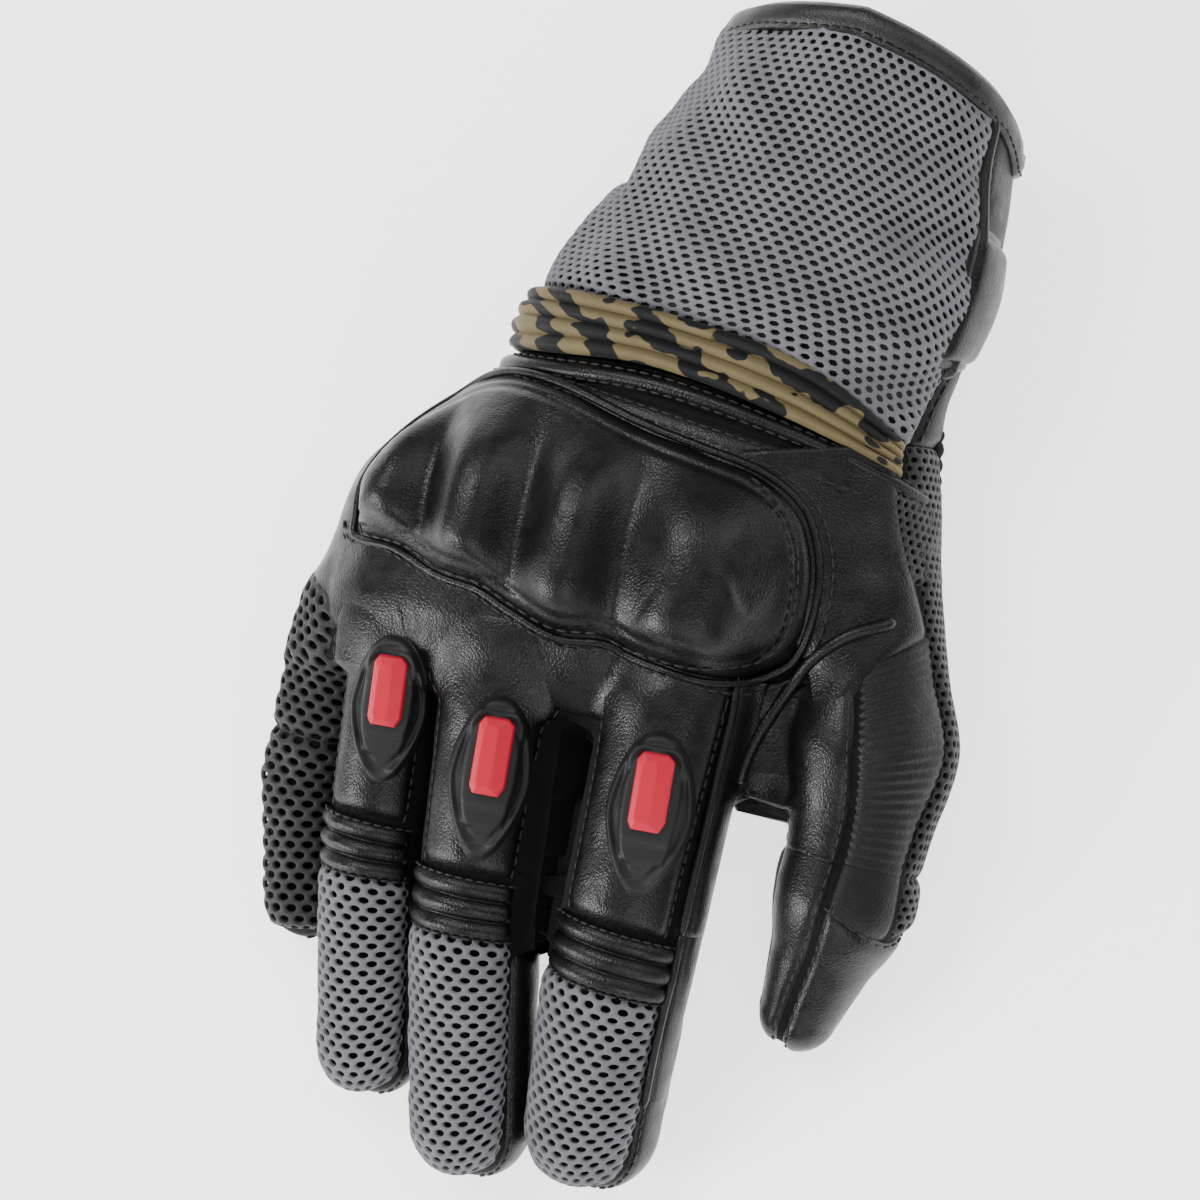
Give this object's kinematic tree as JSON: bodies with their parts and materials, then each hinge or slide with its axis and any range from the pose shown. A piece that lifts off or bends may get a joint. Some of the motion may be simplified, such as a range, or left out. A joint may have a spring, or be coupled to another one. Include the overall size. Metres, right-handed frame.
{
  "type": "riding gloves",
  "caption": "Right-hand motorcycle glove, palm down: padded knuckle guard, finger sliders, stretch ribs, mesh fingertips and a mesh cuff with a closure strap.",
  "frame": {"origin": "centre of the bounding box in plan, on the surface that the palm patch rests on", "axes": "+Z out of the back of the hand, +Y from the fingertips to the cuff, +X towards the thumb side"},
  "size_m": [0.1834, 0.2542, 0.0622],
  "materials": {
    "black_leather": "grained, satin",
    "soft_leather": "supple, matte",
    "grey_mesh": "open knitted mesh",
    "black_mesh": "open knitted mesh",
    "moulded_rubber": "matte",
    "coral_insert": "satin",
    "patterned_rib": "printed, padded",
    "guard_shell": "matte",
    "foam": "open cell foam",
    "lining": "brushed",
    "elastic": "woven elastic",
    "binding": "satin",
    "hook_and_loop": "napped"
  },
  "bodies": {
    "hand": {"palm_leather": "soft_leather", "back_leather": "black_leather", "side_mesh_panels": "black_mesh", "thenar_leather": "soft_leather", "thumb_gusset_mesh": "black_mesh", "hand_lining": "lining", "palm_fold": "soft_leather", "root_flex_bands": "soft_leather", "knuckle_guard_foam": "foam", "knuckle_guard_shell": "guard_shell", "knuckle_guard_cover": "black_leather", "palm_patch": "moulded_rubber", "wrist_ribs": "patterned_rib", "wrist_elastic": "elastic"},
    "cuff": {"cuff_mesh": "grey_mesh", "cuff_underside": "soft_leather", "cuff_lining": "lining", "cuff_binding": "binding", "cuff_loop_patch": "hook_and_loop"},
    "strap": {"closure_strap": "black_leather", "strap_hook_patch": "hook_and_loop"},
    "index_base": {"index_back_leather": "black_leather", "index_palm_leather": "soft_leather", "index_sidewalls": "elastic", "index_slider": "moulded_rubber", "index_insert": "coral_insert", "index_stretch_ribs": "black_leather", "index_bend_leather": "soft_leather"},
    "index_end": {"index_tip_mesh": "grey_mesh", "index_tip_leather": "soft_leather"},
    "middle_base": {"middle_back_leather": "black_leather", "middle_palm_leather": "soft_leather", "middle_sidewalls": "elastic", "middle_slider": "moulded_rubber", "middle_insert": "coral_insert", "middle_stretch_ribs": "black_leather", "middle_bend_leather": "soft_leather"},
    "middle_end": {"middle_tip_mesh": "grey_mesh", "middle_tip_leather": "soft_leather"},
    "ring_base": {"ring_back_leather": "black_leather", "ring_palm_leather": "soft_leather", "ring_sidewalls": "elastic", "ring_slider": "moulded_rubber", "ring_insert": "coral_insert", "ring_stretch_ribs": "black_leather", "ring_bend_leather": "soft_leather"},
    "ring_end": {"ring_tip_mesh": "grey_mesh", "ring_tip_leather": "soft_leather"},
    "little_base": {"little_back_leather": "black_mesh", "little_palm_leather": "soft_leather", "little_sidewalls": "elastic", "little_bend_mesh": "black_mesh"},
    "little_end": {"little_tip_mesh": "black_mesh", "little_tip_leather": "soft_leather"},
    "thumb_base": {"thumb_back_mesh": "black_mesh", "thumb_palm_leather": "soft_leather", "thumb_sidewalls": "elastic", "thumb_bend_mesh": "black_mesh"},
    "thumb_end": {"thumb_tip_back": "black_leather", "thumb_tip_leather": "soft_leather"}
  },
  "joints": [
    {"name": "index_knuckle", "type": "hinge", "parent": "hand", "child": "index_base", "pos_m": [0.01287, -0.02076, 0.033], "axis": [0.9646, -0.2639, 0], "range_deg": [-10, 60], "stiffness_Nm_per_rad": 0.05, "deforming": ["root_flex_bands", "palm_fold"]},
    {"name": "index_bend", "type": "hinge", "parent": "index_base", "child": "index_end", "pos_m": [-0.00217, -0.07573, 0.02397], "axis": [0.9677, -0.2521, 0], "range_deg": [-5, 75], "stiffness_Nm_per_rad": 0.04, "deforming": ["index_bend_leather", "index_stretch_ribs"]},
    {"name": "middle_knuckle", "type": "hinge", "parent": "hand", "child": "middle_base", "pos_m": [-0.02513, -0.00946, 0.033], "axis": [0.9829, -0.184, 0], "range_deg": [-10, 60], "stiffness_Nm_per_rad": 0.05, "deforming": ["root_flex_bands", "palm_fold"]},
    {"name": "middle_bend", "type": "hinge", "parent": "middle_base", "child": "middle_end", "pos_m": [-0.0351, -0.06275, 0.02499], "axis": [0.9951, -0.0993, 0], "range_deg": [-5, 75], "stiffness_Nm_per_rad": 0.04, "deforming": ["middle_bend_leather", "middle_stretch_ribs"]},
    {"name": "ring_knuckle", "type": "hinge", "parent": "hand", "child": "ring_base", "pos_m": [-0.04913, -0.00236, 0.03], "axis": [0.977, -0.213, 0], "range_deg": [-10, 60], "stiffness_Nm_per_rad": 0.05, "deforming": ["root_flex_bands", "palm_fold"]},
    {"name": "ring_bend", "type": "hinge", "parent": "ring_base", "child": "ring_end", "pos_m": [-0.05933, -0.04913, 0.02104], "axis": [0.9951, -0.0993, 0], "range_deg": [-5, 75], "stiffness_Nm_per_rad": 0.04, "deforming": ["ring_bend_leather", "ring_stretch_ribs"]},
    {"name": "little_knuckle", "type": "hinge", "parent": "hand", "child": "little_base", "pos_m": [-0.06993, 0.00354, 0.024], "axis": [0.9516, -0.3074, 0], "range_deg": [-10, 60], "stiffness_Nm_per_rad": 0.05, "deforming": ["root_flex_bands", "palm_fold"]},
    {"name": "little_bend", "type": "hinge", "parent": "little_base", "child": "little_end", "pos_m": [-0.08112, -0.0311, 0.01499], "axis": [0.9985, -0.0541, 0], "range_deg": [-5, 75], "stiffness_Nm_per_rad": 0.04, "deforming": ["little_bend_mesh"]},
    {"name": "thumb_root", "type": "hinge", "parent": "hand", "child": "thumb_base", "pos_m": [0.05387, -0.03176, 0.0215], "axis": [0.7619, -0.1042, -0.6393], "range_deg": [-8, 18], "stiffness_Nm_per_rad": 0.05, "deforming": ["root_flex_bands"]},
    {"name": "thumb_bend", "type": "hinge", "parent": "thumb_base", "child": "thumb_end", "pos_m": [0.04638, -0.06473, 0.01795], "axis": [0.7709, -0.1789, -0.6113], "range_deg": [-5, 36], "stiffness_Nm_per_rad": 0.04, "deforming": ["thumb_bend_mesh"]},
    {"name": "wrist_flex", "type": "hinge", "parent": "hand", "child": "cuff", "pos_m": [0.01987, 0.04474, 0.026], "axis": [0.9345, -0.3559, 0], "range_deg": [-18, 18], "stiffness_Nm_per_rad": 0.4, "deforming": ["wrist_ribs", "wrist_elastic"]},
    {"name": "strap_peel", "type": "hinge", "parent": "cuff", "child": "strap", "pos_m": [0.05161, 0.07641, 0.00275], "axis": [0.3827, 0.9239, 0], "range_deg": [0, 60]}
  ]
}
